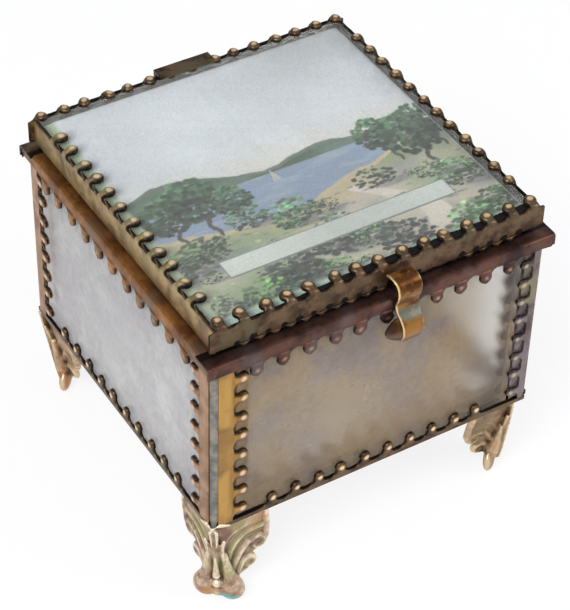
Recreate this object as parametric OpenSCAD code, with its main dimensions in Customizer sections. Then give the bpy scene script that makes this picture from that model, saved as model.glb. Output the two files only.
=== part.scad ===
// Glass casket: bevelled panes held on every edge by brass claw strips, soldered at the corners,
// on four stamped corner feet, with a hinged lid over a printed card and a sprung clasp in front.
// Millimetres. The origin is on the surface it stands on, under the middle of the body.
// +X is to the right, the front is at -Y, the hinge at +Y and +Z is up.

/* [Body] */
// Width of the body over the side panes' strips
body_w = 64; // [52:1:90]
// Depth of the body over the front and back strips
body_d = 64; // [52:1:90]
// Height of the body from its bottom strips to its rim
body_h = 37.5; // [30:0.5:60]
// Thickness of the wall panes
wall_glass = 2.8; // [2:0.1:4]
// Thickness of the bottom pane
floor_glass = 2.8; // [2:0.1:4]
// Width of the soldered groove at each upright corner
groove = 1.0; // [0.7:0.1:1.5]

/* [Strips] */
// Thickness of the brass strips
sheet = 0.4; // [0.3:0.05:0.5]
// Spacing of the claws on the uprights
upright_pitch = 4.2; // [3.8:0.1:6]
// Spacing of the claws on the rim
rim_pitch = 4.8; // [3.8:0.1:6]
// Spacing of the claws along the bottom
bottom_pitch = 4.55; // [3.8:0.05:6]
// Width of a claw's neck
neck_w = 1.8; // [1.2:0.1:2]
// Diameter of a claw's round head
head_d = 2.4; // [1.8:0.1:2.6]
// How far a claw stands beyond its band
claw_reach = 2.8; // [2.4:0.1:3.2]
// How far a claw inside the box stands beyond its band
inner_reach = 2.4; // [2:0.1:2.8]
// Width of the band on the upright edges
upright_band = 2.4; // [1.8:0.1:3]
// Width of the band on the front's right upright, which shows less of it
right_band = 1.0; // [0.9:0.1:3]
// Width of the band along the bottom edges
bottom_band = 0.9; // [0.7:0.1:1.4]
// Height of the rim's outer band
rim_band = 2.3; // [1.8:0.1:4]
// Height of the rim's inner band
rim_inner_band = 2.0; // [1.5:0.1:2.6]
// How far the rim stands proud of the walls
rim_proud = 0.5; // [0.5:0.1:1]
// How far the front and back rim strips pass the corners
rim_ear = 0.4; // [0.2:0.1:0.6]
// Length along each rim strip end that has no claws
rim_clear = 5; // [4:0.5:12]

/* [Lid] */
// How far the lid's sides are set in from the walls' outer faces
lid_side_inset = 1.4; // [1:0.1:2]
// Half of the difference between the body's depth and the lid's
lid_end_inset = 1.05; // [0.8:0.05:1.5]
// How far the lid sits towards the hinge
lid_setback = 0.45; // [0:0.05:0.6]
// Gap between the rim and the lid's side strips
lid_gap = 1.3; // [1.2:0.1:2.2]
// Thickness of the lid's pane
lid_glass = 2.4; // [2:0.1:4]
// Width of the bevel on the lid's pane
bevel_w = 5.6; // [3:0.1:8]
// Depth of the bevel at the pane's edge
bevel_depth = 0.7; // [0.3:0.05:1]
// Thickness of the printed card under the pane
picture_t = 0.3; // [0.2:0.05:0.5]
// Thickness of the board behind the card
backing_t = 1.2; // [0.8:0.1:1.6]
// How far the lid's lower edge is set in at the sides and the back
lid_step = 0.9; // [0.5:0.1:1.5]
// Spacing of the claws on the lid
lid_pitch = 4.2; // [3.8:0.1:6]
// Spacing of the fine teeth under the lid
tooth_pitch = 2.8; // [2.4:0.1:3.6]
// Width of a fine tooth's round end
tooth_w = 1.4; // [1:0.1:1.8]
// How far the front's fine teeth hang below the lid
tooth_drop = 0.9; // [0.7:0.1:0.9]

/* [Feet] */
// Height of the body above the surface that the box stands on
foot_h = 17.0; // [15:0.2:24]
// Thickness of the stamped feet
foot_t = 0.7; // [0.5:0.1:0.8]
// Length of a foot's wing along the wall
wing_len = 11.3; // [9:0.1:14]
// How far the tops of the wings are set in under the walls
foot_inset = 0.4; // [0.2:0.1:3]
// Angle at which the wings lean in
foot_lean = 12; // [1:0.5:14]
// Angle at which the leg between the wings leans in
leg_lean = 15; // [6:0.5:18]
// Angle at which the wings of the near left foot lean in: it is bent outwards
near_lean = 4; // [1:0.5:14]
// Angle at which the near left foot's leg leans in
near_leg_lean = 5; // [4:0.5:18]
// Radius of the two rounded toes
toe_r = 2.4; // [2:0.05:2.8]
// How far a foot's lug laps up over the corner
lug_h = 2.5; // [1:0.1:3]
// Width of a lug on each side of the corner
lug_w = 3.4; // [2:0.1:5]

/* [Hinge] */
// Length of the hinge
hinge_len = 10.8; // [9:0.2:20]
// Sideways place of the hinge's middle
hinge_x = -1.5; // [-8:0.5:8]
// Diameter of the hinge barrel
barrel_d = 2.6; // [2.4:0.1:3]
// Diameter of the hinge pin
pin_d = 1.2; // [1:0.1:1.4]
// Radial clearance of the pin in the lid's knuckle
pin_play = 0.04; // [0.02:0.01:0.09]
// Radial clearance of the pin in the body's knuckles
pin_seat = 0.02; // [0.01:0.01:0.05]
// Gap between knuckles
knuckle_gap = 0.3; // [0.15:0.05:0.5]
// Thickness of the hinge leaves
leaf_t = 0.6; // [0.4:0.05:0.8]
// Height of the hinge leaf on the body
leaf_h = 4.5; // [3.5:0.1:6]
// How far the lid's leaf laps over the lid's top
leaf_lap = 2.0; // [1:0.1:3]

/* [Clasp] */
// Width of the clasp
clasp_w = 4.4; // [3.4:0.1:6]
// Sideways place of the clasp
clasp_x = 3.5; // [-8:0.5:8]
// Thickness of the clasp
clasp_t = 0.5; // [0.4:0.05:0.7]
// How far the clasp's finger bow stands out from the rim
clasp_bow = 2.6; // [1.5:0.05:3]
// Clearance between the clasp and what it passes
clasp_play = 0.35; // [0.2:0.05:0.5]

/* [Hidden] */
$fn = 48;

// The four sides, counted anticlockwise from the front as seen from above
FRONT = 0;
RIGHT = 1;
BACK = 2;
LEFT = 3;

// Clearance between pieces of glass and the strips' folds
edge_play = 0.15;
wall_t = wall_glass + 2 * sheet;
lid_w = body_w - 2 * lid_side_inset;
lid_d = body_d - 2 * lid_end_inset;
floor_t = floor_glass + 2 * sheet;
// Underside of the lid's pane above the lid's bottom
pane_z = sheet + backing_t + picture_t;
lid_h = pane_z + lid_glass + sheet;
rim_z = foot_h + body_h;
lid_z = rim_z + lid_gap;
lid_top = lid_z + lid_h;
// Distance from a wall's end to its glass
glass_inset = groove + wall_t + sheet * (sqrt(2) - 1) + 0.05;
// Height of the uprights
upright_len = body_h - rim_band - bottom_band;
// The bottom pane's frame fills the space between the walls
floor_w = body_w - 2 * wall_t - 0.1;
floor_d = body_d - 2 * wall_t - 0.1;
floor_band = 1.2;
// The ledge folded in under the lid's board
ledge = 1.2;
fine_reach = 1.5;
// Rim and lid faces that the clasp and hinge are placed from
rim_front = -body_d / 2 - rim_proud;
rim_back = body_d / 2 + rim_proud;
lid_front = -lid_d / 2 + lid_setback;
lid_back = lid_d / 2 + lid_setback;
hinge_y = rim_back + barrel_d / 2;
hinge_z = lid_z + 0.4 + leaf_t - barrel_d / 2;
// The clasp's root stands clear of the lid's front strip, and its pivot is at the top of the root
clasp_root_gap = 0.2;
clasp_root_z = lid_z + lid_h - 2.2;
pin_head_t = 0.35;
// Top of the body's leaf between its knuckles, below the rim
leaf_clear = 0.55;
tab_t = 0.6;
// Top of a foot's wings below its plate's top, so that the leaning wings stay under the walls
wing_drop = 0.3;
// The lug is thinner than the foot, and stands this far off the corner
lug_t = 0.4;
lug_play = 0.03;
far = 200;

BRASS = [0.55, 0.42, 0.26];
DARK_BRASS = [0.38, 0.27, 0.2];
GOLD_BRASS = [0.72, 0.55, 0.3];
SOLDER = [0.55, 0.54, 0.53];
PINK_GILT = [0.78, 0.66, 0.52];
GLASS = [0.82, 0.86, 0.86, 0.4];

function side_half(side) = side % 2 == 0 ? body_d / 2 : body_w / 2;
function side_len(side) = side % 2 == 0 ? body_w : body_d;
function lid_half(side) = side % 2 == 0 ? lid_d / 2 : lid_w / 2;
function lid_len(side) = side % 2 == 0 ? lid_w : lid_d;
function floor_half(side) = side % 2 == 0 ? floor_d / 2 : floor_w / 2;
function floor_len(side) = side % 2 == 0 ? floor_w : floor_d;
function runs_through(side) = side % 2 == 0;
function count_in(span, pitch) = max(1, floor(span / pitch));

// Wall frame: x along the wall, y inwards from its outer face, z up from the body's bottom
module on_wall(side) {
    rotate([0, 0, 90 * side])
        translate([0, -side_half(side), foot_h])
            children();
}

module on_lid(side) {
    translate([0, lid_setback, lid_z])
        rotate([0, 0, 90 * side])
            translate([0, -lid_half(side), 0])
                children();
}

module on_floor(side) {
    rotate([0, 0, 90 * side])
        translate([0, -floor_half(side), foot_h])
            children();
}

// Corner frame: the corner's upright edge is the z axis and the box lies towards +x and +y
module on_corner(sx, sy) {
    translate([sx * body_w / 2, sy * body_d / 2, 0])
        mirror([sx > 0 ? 1 : 0, 0, 0])
            mirror([0, sy > 0 ? 1 : 0, 0])
                children();
}

// Stands a flat outline up in the wall's plane, from depth y0 to y0 + sheet
module stand(y0) {
    translate([0, y0 + sheet, 0])
        rotate([90, 0, 0])
            linear_extrude(sheet)
                children();
}

// A band with a row of claws: scallops between the necks and a round head on each neck
module comb(length, band, reach, count, pitch, neck, head) {
    scallop_r = (pitch - neck) / 2;
    first = -(count - 1) * pitch / 2;
    head_y = band + reach - head / 2;
    difference() {
        translate([-length / 2, 0])
            square([length, band + scallop_r]);
        for (i = [0:count])
            translate([first + (i - 0.5) * pitch, band + scallop_r])
                circle(scallop_r);
        for (s = [-1, 1])
            translate([s * (first - pitch / 2 - far / 2), band + far / 2])
                square([far, far], center = true);
    }
    for (i = [0:count - 1])
        translate([first + i * pitch, 0]) {
            translate([-neck / 2, 0])
                square([neck, head_y]);
            translate([0, head_y])
                circle(d = head);
        }
}

module claw_comb(length, band, reach, count, pitch) {
    comb(length, band, reach, count, pitch, neck_w, head_d);
}

// Wall pane

module wall_pane(side) {
    length = side_len(side) - 2 * glass_inset;
    color(GLASS)
        on_wall(side)
            translate([-length / 2, sheet, sheet])
                cube([length, wall_glass, body_h - 2 * sheet]);
}

// Rim strip: outer band with claws, a fold over the glass and an inner band with claws

module rim_strip(side) {
    length = side_len(side);
    outer_len = length + (runs_through(side) ? 2 * (rim_proud + rim_ear) : 2 * (rim_proud - sheet));
    fold_len = length + (runs_through(side) ? 2 * rim_proud : -2 * wall_t);
    inner_len = length - 2 * wall_t + (runs_through(side) ? 2 * sheet : 0);
    count = count_in(length - 2 * rim_clear, rim_pitch);
    color(DARK_BRASS)
        on_wall(side) {
            translate([0, 0, body_h - sheet])
                mirror([0, 0, 1])
                    stand(-rim_proud)
                        claw_comb(outer_len, rim_band - sheet, claw_reach, count, rim_pitch);
            translate([-fold_len / 2, -rim_proud, body_h - sheet])
                cube([fold_len, wall_t + rim_proud, sheet]);
            translate([0, 0, body_h - sheet])
                mirror([0, 0, 1])
                    stand(wall_t - sheet)
                        claw_comb(inner_len, rim_inner_band - sheet, inner_reach, count - 2, rim_pitch);
        }
}

// Bottom strip: folded under the wall's glass, mitred at the corners

module bottom_strip(side) {
    length = side_len(side) - 2 * groove;
    clear = upright_band + claw_reach + 1.2;
    outer_count = count_in(length - 2 * clear, bottom_pitch);
    inner_len = length - 2 * wall_t;
    color(BRASS)
        on_wall(side) {
            stand(0)
                claw_comb(length, bottom_band, claw_reach, outer_count, bottom_pitch);
            linear_extrude(sheet)
                polygon([
                    [-length / 2, 0], [length / 2, 0],
                    [length / 2 - wall_t, wall_t], [-length / 2 + wall_t, wall_t]
                ]);
            stand(wall_t - sheet)
                claw_comb(inner_len, bottom_band, inner_reach, outer_count - 2, bottom_pitch);
        }
}

// Upright strip at one end of a wall: end is -1 for the left end and 1 for the right end

module upright(side, end, band = upright_band) {
    count = count_in(upright_len - 0.6, upright_pitch);
    web = sheet * sqrt(2);
    edge = side_len(side) / 2 - groove;
    color(side == FRONT ? GOLD_BRASS : BRASS)
        on_wall(side)
            translate([0, 0, bottom_band])
                mirror([end > 0 ? 1 : 0, 0, 0]) {
                    stand(0)
                        translate([-edge, upright_len / 2])
                            rotate(-90)
                                claw_comb(upright_len, band, claw_reach, count, upright_pitch);
                    linear_extrude(upright_len)
                        polygon([
                            [-edge, 0], [-edge + web, 0],
                            [-edge + web + wall_t, wall_t], [-edge + wall_t, wall_t]
                        ]);
                    stand(wall_t - sheet)
                        translate([-edge + wall_t, upright_len / 2])
                            rotate(-90)
                                claw_comb(upright_len, band - web, inner_reach, count, upright_pitch);
                }
}

// Solder run in the groove between two walls' uprights

module corner_seam(sx, sy) {
    recess = sheet;
    color(SOLDER)
        on_corner(sx, sy)
            translate([0, 0, foot_h])
                linear_extrude(body_h - rim_band)
                    polygon([
                        [groove + recess, recess], [recess, groove + recess],
                        [wall_t - groove / 2, wall_t + groove / 2],
                        [wall_t + groove / 2, wall_t - groove / 2]
                    ]);
}

// Bottom pane and its frame

module floor_pane() {
    inset = sheet + edge_play;
    color(GLASS)
        translate([-floor_w / 2 + inset, -floor_d / 2 + inset, foot_h + sheet])
            cube([floor_w - 2 * inset, floor_d - 2 * inset, floor_glass]);
}

module floor_strip(side) {
    length = floor_len(side) - (runs_through(side) ? 0 : 2 * (floor_band + 0.05));
    web_len = floor_len(side) - (runs_through(side) ? 0 : 2 * (sheet + 0.05));
    clear = floor_band + inner_reach + 0.6 - (runs_through(side) ? 0 : floor_band);
    count = count_in(length - 2 * clear, bottom_pitch);
    color(BRASS)
        on_floor(side) {
            linear_extrude(sheet)
                claw_comb(length, floor_band, inner_reach, count, bottom_pitch);
            translate([-web_len / 2, 0, sheet])
                cube([web_len, sheet, floor_t - 2 * sheet]);
            translate([0, 0, floor_t - sheet])
                linear_extrude(sheet)
                    claw_comb(length, floor_band, inner_reach, count, bottom_pitch);
        }
}

// Stamped corner foot: two scrolled wings under the walls, a leg that faces outwards between them
// and ends in two toes, a plate soldered under the body and a lug that laps up over the corner

module wing_outline() {
    scroll_r = 2.5;
    lower_scroll_r = 2;
    polygon([
        [-3, -wing_drop], [wing_len - 0.6, -wing_drop], [wing_len - 0.2, -3], [wing_len - 1, -7],
        [wing_len - 4, -11], [1, -toe_top() + 1], [-3, -toe_top() + 1]
    ]);
    translate([wing_len - scroll_r, -6.8])
        circle(scroll_r);
    translate([wing_len - 3 - lower_scroll_r, -10.9])
        circle(lower_scroll_r);
}

function toe_top() = foot_h - 2 * toe_r;

module leg_outline() {
    polygon([
        [-0.5, -3], [0.5, -3], [2.8, -11], [2.4, -toe_top() - 0.4], [2.4, -foot_h + toe_r],
        [-2.4, -foot_h + toe_r], [-2.4, -toe_top() - 0.4], [-2.8, -11]
    ]);
}

module wing_plate(lean) {
    intersection() {
        rotate([lean, 0, 0])
            translate([0, foot_t, 0])
                rotate([90, 0, 0])
                    linear_extrude(foot_t)
                        wing_outline();
        rotate([0, 0, 45])
            translate([-far / 2, -far, -far / 2])
                cube([far, far, far]);
    }
}

module foot(sx, sy, lean = foot_lean, leg = leg_lean) {
    toe_t = 1.8;
    leg_t = 1;
    toe_u = (foot_h - toe_r) * tan(leg) - toe_t / 2 + leg_t;
    outer = -lug_t - lug_play;
    color(PINK_GILT)
        on_corner(sx, sy) {
            translate([foot_inset, foot_inset, foot_h]) {
                for (turn = [0, 1])
                    mirror([turn, -turn, 0])
                        wing_plate(lean);
                rotate([0, 0, 45]) {
                    rotate([0, -leg, 0])
                        translate([0.2, 0, 0])
                            rotate([90, 0, 90])
                                linear_extrude(leg_t)
                                    leg_outline();
                    for (s = [-1, 1])
                        intersection() {
                            translate([toe_u, s * (toe_r - 0.2), toe_r - 0.2 - foot_h])
                                rotate([0, 90, 0])
                                    cylinder(r = toe_r, h = toe_t);
                            translate([0, -far / 2, -foot_h])
                                cube(far);
                        }
                }
            }
            translate([0, 0, foot_h - tab_t])
                linear_extrude(tab_t)
                    polygon([
                        [outer, outer], [lug_w, outer], [wing_len - 1, foot_inset + foot_t],
                        [foot_inset + foot_t, wing_len - 1], [outer, lug_w]
                    ]);
            for (turn = [0, 1])
                mirror([turn, -turn, 0])
                    translate([outer, outer, foot_h - tab_t])
                        cube([lug_w - outer, lug_t, lug_h + tab_t]);
        }
}

// Lid pane, bevelled along all four edges of its top

module bevelled(length) {
    translate([-length / 2, 0])
        polygon([
            [0, 0], [length, 0], [length, lid_glass - bevel_depth],
            [length - bevel_w, lid_glass], [bevel_w, lid_glass], [0, lid_glass - bevel_depth]
        ]);
}

module lid_pane() {
    inset = sheet + edge_play;
    w = lid_w - 2 * inset;
    d = lid_d - 2 * inset;
    color(GLASS)
        translate([0, lid_setback, lid_z + pane_z])
            intersection() {
                translate([0, d / 2, 0])
                    rotate([90, 0, 0])
                        linear_extrude(d)
                            bevelled(w);
                translate([-w / 2, 0, 0])
                    rotate([90, 0, 90])
                        linear_extrude(w)
                            bevelled(d);
            }
}

// A flat sheet held by the lid's ledges, clear of the stepped strips at the sides and the back
module lid_sheet(z0, thickness) {
    side_inset = lid_step + sheet + edge_play;
    front_inset = sheet + edge_play;
    translate([-lid_w / 2 + side_inset, lid_front + front_inset, lid_z + z0])
        cube([lid_w - 2 * side_inset, lid_d - side_inset - front_inset, thickness]);
}

module lid_backing() {
    color([0.62, 0.58, 0.5])
        lid_sheet(sheet, backing_t);
}

module lid_picture() {
    color([0.8, 0.84, 0.82])
        lid_sheet(sheet + backing_t, picture_t);
}

// Lid strips: a face with scallops along its top and claws folded over the pane. The ends of the
// side strips' faces are cut lower, under the end claws of the front and back strips.

module lid_face(length, bottom, count, end_cut) {
    first = -(count - 1) * lid_pitch / 2;
    head_y = claw_reach - head_d / 2;
    stand(0)
        difference() {
            translate([-length / 2, bottom])
                square([length, lid_h - bottom]);
            for (i = [0:count])
                translate([first + (i - 0.5) * lid_pitch, lid_h])
                    circle((lid_pitch - neck_w) / 2);
            if (end_cut > 0)
                for (s = [-1, 1])
                    translate([s * (length - end_cut) / 2, lid_h])
                        square([end_cut, 2 * sheet], center = true);
        }
    translate([0, 0, lid_h - sheet])
        linear_extrude(sheet)
            for (i = [0:count - 1])
                translate([first + i * lid_pitch, 0]) {
                    translate([-neck_w / 2, 0])
                        square([neck_w, head_y]);
                    translate([0, head_y])
                        circle(d = head_d);
                }
}

// The front strip runs down flush, with fine teeth that hang below it
module lid_front_strip() {
    count = count_in(lid_w - 2.4, lid_pitch) + 1;
    tooth_count = count_in(lid_w - 2 * tooth_pitch, tooth_pitch);
    first = -(tooth_count - 1) * tooth_pitch / 2;
    color(DARK_BRASS)
        on_lid(FRONT) {
            lid_face(lid_w, 0, count, 0);
            translate([-lid_w / 2 + lid_step + sheet, 0, 0])
                cube([lid_w - 2 * (lid_step + sheet), ledge, sheet]);
            stand(0)
                for (i = [0:tooth_count - 1])
                    translate([first + i * tooth_pitch, 0]) {
                        translate([-tooth_w / 2, tooth_w / 2 - tooth_drop])
                            square([tooth_w, tooth_drop]);
                        translate([0, tooth_w / 2 - tooth_drop])
                            circle(d = tooth_w);
                    }
        }
}

// The other strips step in under the pane, and their fine teeth fold in under the board
module lid_strip(side) {
    through = runs_through(side);
    length = lid_len(side) - (through ? 0 : 2 * sheet);
    count = count_in(lid_len(side) - (through ? 2.4 : 9.2), lid_pitch) + (through ? 1 : 0);
    lower_len = lid_len(side) - 2 * (lid_step + (through ? 0 : sheet));
    ledge_len = lower_len - 2 * (through ? sheet : ledge);
    tooth_count = count_in(lower_len - 2 * (ledge + fine_reach + 1), tooth_pitch);
    color(DARK_BRASS)
        on_lid(side) {
            lid_face(length, pane_z - sheet, count, through ? 0 : claw_reach);
            translate([-lower_len / 2, 0, pane_z - sheet])
                cube([lower_len, lid_step + sheet, sheet]);
            translate([-lower_len / 2, lid_step, 0])
                cube([lower_len, sheet, pane_z]);
            translate([0, lid_step, 0])
                linear_extrude(sheet)
                    comb(ledge_len, ledge, fine_reach, tooth_count, tooth_pitch, tooth_w * 0.6, tooth_w);
        }
}

// Hinge: a leaf and two knuckles on the rim, a leaf and one knuckle on the lid, and a pin

knuckle_len = (hinge_len - 2 * knuckle_gap) / 3;

module knuckle(x0, length, bore_r) {
    translate([hinge_x + x0, hinge_y, hinge_z])
        rotate([0, 90, 0])
            difference() {
                cylinder(d = barrel_d, h = length);
                translate([0, 0, -1])
                    cylinder(r = bore_r, h = length + 2);
            }
}

module pin_bore(bore_r) {
    translate([hinge_x - hinge_len, hinge_y, hinge_z])
        rotate([0, 90, 0])
            cylinder(r = bore_r, h = 2 * hinge_len);
}

module hinge_body_leaf() {
    bore_r = pin_d / 2 + pin_seat;
    color(BRASS) {
        translate([hinge_x - hinge_len / 2, rim_back, rim_z - leaf_h])
            cube([hinge_len, leaf_t, leaf_h - leaf_clear]);
        difference() {
            for (s = [0, 1])
                translate([
                    hinge_x - hinge_len / 2 + s * (hinge_len - knuckle_len), rim_back, rim_z - leaf_h
                ])
                    cube([knuckle_len, leaf_t, hinge_z - rim_z + leaf_h]);
            pin_bore(bore_r);
        }
        knuckle(-hinge_len / 2, knuckle_len, bore_r);
        knuckle(hinge_len / 2 - knuckle_len, knuckle_len, bore_r);
    }
}

module hinge_lid_leaf() {
    bore_r = pin_d / 2 + pin_play;
    shelf_z = hinge_z + barrel_d / 2 - leaf_t;
    color(BRASS) {
        translate([hinge_x - hinge_len / 2, lid_back, shelf_z])
            cube([hinge_len, leaf_t, lid_top + leaf_t - shelf_z]);
        translate([hinge_x - hinge_len / 2, lid_back - leaf_lap, lid_top])
            cube([hinge_len, leaf_lap + leaf_t, leaf_t]);
        difference() {
            translate([hinge_x - knuckle_len / 2, lid_back, shelf_z])
                cube([knuckle_len, hinge_y - lid_back, leaf_t]);
            pin_bore(bore_r);
        }
        knuckle(-knuckle_len / 2, knuckle_len, bore_r);
    }
}

module hinge_pin() {
    color(GOLD_BRASS)
        translate([hinge_x - hinge_len / 2, hinge_y, hinge_z])
            rotate([0, 90, 0]) {
                cylinder(d = pin_d, h = hinge_len);
                translate([0, 0, -pin_head_t])
                    cylinder(d = pin_d + 0.6, h = pin_head_t);
                translate([0, 0, hinge_len])
                    cylinder(d = pin_d + 0.6, h = pin_head_t);
            }
}

// Clasp: one bent strip, drawn as the curve of its middle from the root down to the finger bow.
// A point is how far it stands out from the lid's front and how far it is above the lid's bottom.

rim_out = lid_front - rim_front;
pass_out = rim_out + clasp_play + clasp_t / 2;
bow_out = rim_out + clasp_bow - clasp_t / 2;
root = [clasp_root_gap + clasp_t / 2, clasp_root_z - lid_z];
waist = [pass_out, -lid_gap - 1];
bow = [bow_out, waist[1] - 4.6];
tip = [rim_out + clasp_t, bow[1] - 4];

function bezier(p, q, r, s, t) =
    pow(1 - t, 3) * p + 3 * pow(1 - t, 2) * t * q + 3 * (1 - t) * t * t * r + pow(t, 3) * s;

function clasp_curve(u) =
    u <= 1 ? bezier(root, root + [2.8, 0.6], waist + [1.9, 3.6], waist, u)
    : u <= 2 ? bezier(waist, waist - [0.3, 2.1], bow + [0, 2], bow, u - 1)
    : bezier(bow, bow - [0, 1.6], tip + [0.9, 1.2], tip, u - 2);

function clasp_normal(u) =
    let (step = 0.01, d = clasp_curve(min(u + step, 3)) - clasp_curve(max(u - step, 0)))
    [-d[1], d[0]] / norm(d);

module clasp() {
    steps = 36;
    along = [for (i = [0:steps]) 3 * i / steps];
    outer = [for (u = along) clasp_curve(u) + clasp_normal(u) * clasp_t / 2];
    inner = [for (i = [steps:-1:0]) clasp_curve(along[i]) - clasp_normal(along[i]) * clasp_t / 2];
    color(GOLD_BRASS)
        translate([clasp_x - clasp_w / 2, lid_front, lid_z])
            rotate([90, 0, 90])
                linear_extrude(clasp_w)
                    mirror([1, 0])
                        polygon(concat(outer, inner));
}

wall_pane(FRONT);  // front_pane
wall_pane(RIGHT);  // right_pane
wall_pane(BACK);  // back_pane
wall_pane(LEFT);  // left_pane
floor_pane();
rim_strip(FRONT);  // front_rim_strip
rim_strip(RIGHT);  // right_rim_strip
rim_strip(BACK);  // back_rim_strip
rim_strip(LEFT);  // left_rim_strip
bottom_strip(FRONT);  // front_bottom_strip
bottom_strip(RIGHT);  // right_bottom_strip
bottom_strip(BACK);  // back_bottom_strip
bottom_strip(LEFT);  // left_bottom_strip
upright(FRONT, -1);  // front_left_upright
upright(FRONT, 1, right_band);  // front_right_upright
upright(RIGHT, -1);  // right_left_upright
upright(RIGHT, 1);  // right_right_upright
upright(BACK, -1);  // back_left_upright
upright(BACK, 1);  // back_right_upright
upright(LEFT, -1);  // left_left_upright
upright(LEFT, 1);  // left_right_upright
floor_strip(FRONT);  // floor_front_strip
floor_strip(RIGHT);  // floor_right_strip
floor_strip(BACK);  // floor_back_strip
floor_strip(LEFT);  // floor_left_strip
corner_seam(-1, -1);  // seam_front_left
corner_seam(1, -1);  // seam_front_right
corner_seam(-1, 1);  // seam_back_left
corner_seam(1, 1);  // seam_back_right
foot(-1, -1, near_lean, near_leg_lean);  // foot_front_left
foot(1, -1);  // foot_front_right
foot(-1, 1);  // foot_back_left
foot(1, 1);  // foot_back_right
lid_pane();
lid_picture();
lid_backing();
lid_front_strip();
lid_strip(RIGHT);  // lid_right_strip
lid_strip(BACK);  // lid_back_strip
lid_strip(LEFT);  // lid_left_strip
hinge_body_leaf();
hinge_lid_leaf();
hinge_pin();
clasp();
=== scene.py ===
"""Looks of the glass casket: bent claw strips, worn brass, dusty glass, a printed card and stamped feet.

Sizes are in millimetres, as in the part's source, and become metres when a mesh is made.
"""

import math
import random

import bmesh
import bpy
import numpy as np
from mathutils import Euler, Matrix, Vector


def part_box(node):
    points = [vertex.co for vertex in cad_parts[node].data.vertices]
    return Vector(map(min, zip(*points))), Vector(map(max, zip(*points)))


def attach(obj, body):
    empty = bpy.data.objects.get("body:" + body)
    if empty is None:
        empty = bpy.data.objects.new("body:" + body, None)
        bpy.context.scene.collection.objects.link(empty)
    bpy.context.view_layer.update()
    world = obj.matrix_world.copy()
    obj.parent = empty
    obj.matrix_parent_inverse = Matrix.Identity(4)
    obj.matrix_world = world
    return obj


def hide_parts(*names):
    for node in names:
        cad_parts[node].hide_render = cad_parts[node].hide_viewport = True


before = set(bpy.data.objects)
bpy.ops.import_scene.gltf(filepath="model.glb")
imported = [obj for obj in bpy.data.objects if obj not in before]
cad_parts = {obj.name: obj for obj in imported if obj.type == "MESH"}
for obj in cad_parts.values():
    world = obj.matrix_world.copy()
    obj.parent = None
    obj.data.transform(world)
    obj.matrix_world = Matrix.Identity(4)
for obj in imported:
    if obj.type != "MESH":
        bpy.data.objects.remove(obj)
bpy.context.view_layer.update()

MM = 0.001
TAU = 2 * math.pi
FRONT, RIGHT, BACK, LEFT = range(4)
SIDES = {"front": FRONT, "right": RIGHT, "back": BACK, "left": LEFT}

# Sizes of the part
BODY = 64.0
BODY_H = 37.5
FOOT_H = 17.0
WALL_GLASS = 2.8
GROOVE = 1.0
SHEET = 0.4
WALL_T = WALL_GLASS + 2 * SHEET
UPRIGHT_PITCH, RIM_PITCH, BOTTOM_PITCH = 4.2, 4.8, 4.55
NECK_W, HEAD_D = 1.8, 2.2
CLAW_REACH, INNER_REACH = 2.8, 2.4
UPRIGHT_BAND, RIGHT_BAND, BOTTOM_BAND, RIM_BAND, RIM_INNER_BAND = 2.4, 1.0, 0.9, 2.3, 2.0
RIM_PROUD, RIM_EAR, RIM_CLEAR = 0.5, 0.4, 5
LID_W, LID_D, LID_H = 61.2, 61.9, 4.7
LID_SETBACK, LID_GAP, LID_STEP = 0.45, 1.3, 0.9
LID_PITCH, TOOTH_PITCH, TOOTH_W, TOOTH_DROP = 4.2, 2.8, 1.4, 0.9
BOARD_T, CARD_T = 1.2, 0.3
PANE_Z = SHEET + BOARD_T + CARD_T
LEDGE, FINE_REACH = 1.2, 1.5
FLOOR_BAND = 1.2
FLOOR_T = 3.6
FLOOR_SPAN = BODY - 2 * WALL_T - 0.1
LID_Z = FOOT_H + BODY_H + LID_GAP
UPRIGHT_LEN = BODY_H - RIM_BAND - BOTTOM_BAND
FOOT_INSET, TOE_R = 0.4, 2.4
CLASP_T, CLASP_PLAY = 0.5, 0.35

# Mesh detail: points closer than MERGE are joined, and edges sharper than SHARP degrees stay sharp
MERGE, SHARP = 0.002, 38
FOLD_STEPS, SLOPE_STEP = 6, 0.05
CLAW_ACROSS = (-1, -0.9, -0.66, -0.33, 0, 0.33, 0.66, 0.9, 1)
CLAW_STEP, BAND_STEP, SHADOW_STEP = 0.17, 0.4, 0.35
CLAW_RIDGE, CLAW_TURNED_DOWN, CLAW_WOBBLE = 0.22, 0.12, 0.12
SHADOW_MIN, SHADOW_MAX = 0.06, 2.6

# Tones: wear and painted highlight, grime and painted shade, and a shade of the point's own
# Painted shade: full on hidden inner faces, and black between claws and in gaps
IN_SHADE = (0, 1)
BLACK = (0, 3, 0)


def fractions(steps):
    """0 to 1 in equal steps."""
    return [i / steps for i in range(steps + 1)]


def unit(value):
    return max(0, min(1, value))


def count_in(span, pitch):
    return max(1, math.floor(span / pitch))


def turn(side):
    return Matrix.Rotation(math.radians(90 * side), 4, "Z")


def on_wall(side):
    """Along the wall, inwards from its outer face, up from the body's bottom."""
    return turn(side) @ Matrix.Translation((0, -BODY / 2, FOOT_H))


def on_lid(side):
    half = (LID_D if side % 2 == 0 else LID_W) / 2
    return Matrix.Translation((0, LID_SETBACK, LID_Z)) @ turn(side) @ Matrix.Translation((0, -half, 0))


def on_floor(side):
    return turn(side) @ Matrix.Translation((0, -FLOOR_SPAN / 2, FOOT_H))


def corner_matrix(sx, sy):
    """The corner's upright edge is the z axis, and the box lies towards +x and +y."""
    return Matrix.Translation((sx * BODY / 2, sy * BODY / 2, 0)) @ Matrix.Diagonal((-sx, -sy, 1, 1))


# Mesh making


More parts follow.
